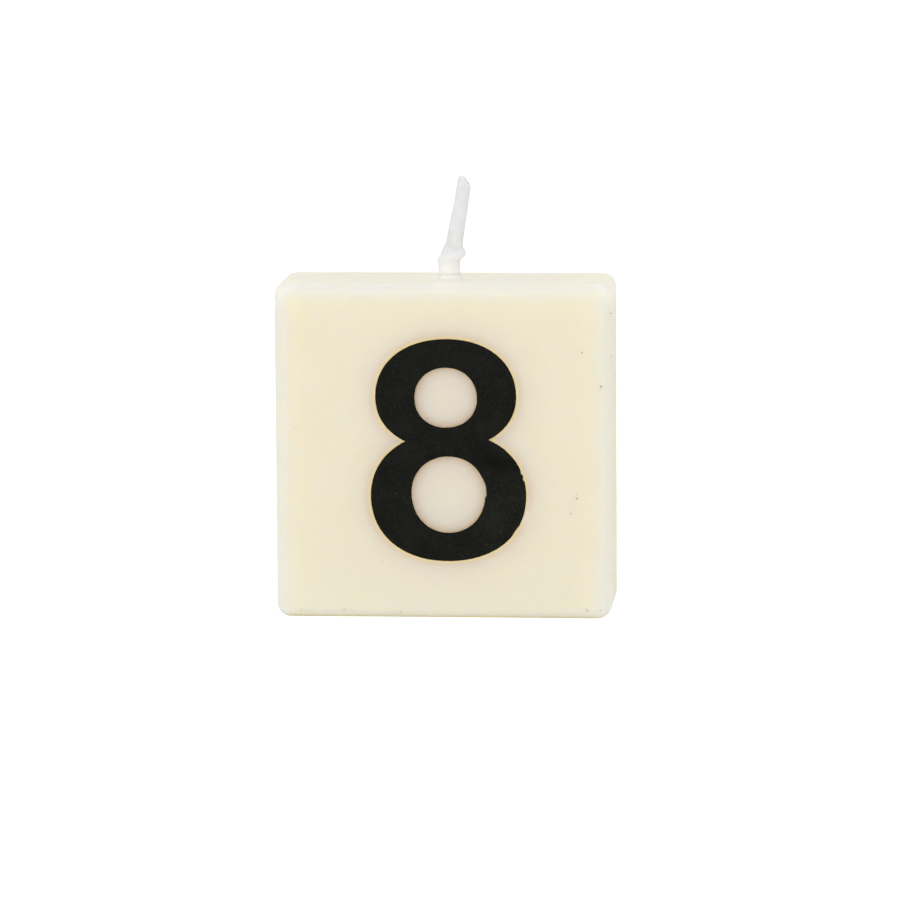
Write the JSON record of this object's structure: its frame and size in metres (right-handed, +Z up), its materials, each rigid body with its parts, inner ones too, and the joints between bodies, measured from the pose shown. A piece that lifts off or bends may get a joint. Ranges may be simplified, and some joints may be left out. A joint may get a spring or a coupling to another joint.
{
  "type": "number birthday candle",
  "caption": "Small square wax tile candle that stands on its lower edge, with a black numeral film on its front and a knotted cotton wick rising from its top.",
  "frame": {"origin": "middle of the tile's base, on the surface that the candle stands on", "axes": "+Z up along the height of the tile and the wick, front face with the numeral towards -Y, +X to the right seen from the front"},
  "size_m": [0.035, 0.0106, 0.0457],
  "materials": {
    "cream_wax": "paraffin wax, cream, translucent, satin skin from the mould",
    "black_film": "black ink film, satin",
    "waxed_cotton": "white braided cotton soaked in clear wax"
  },
  "bodies": {
    "root": {"wax_tile": "cream_wax", "base_plug": "cream_wax", "top_seal": "cream_wax", "numeral_8": "black_film", "wick": "waxed_cotton"}
  },
  "joints": []
}
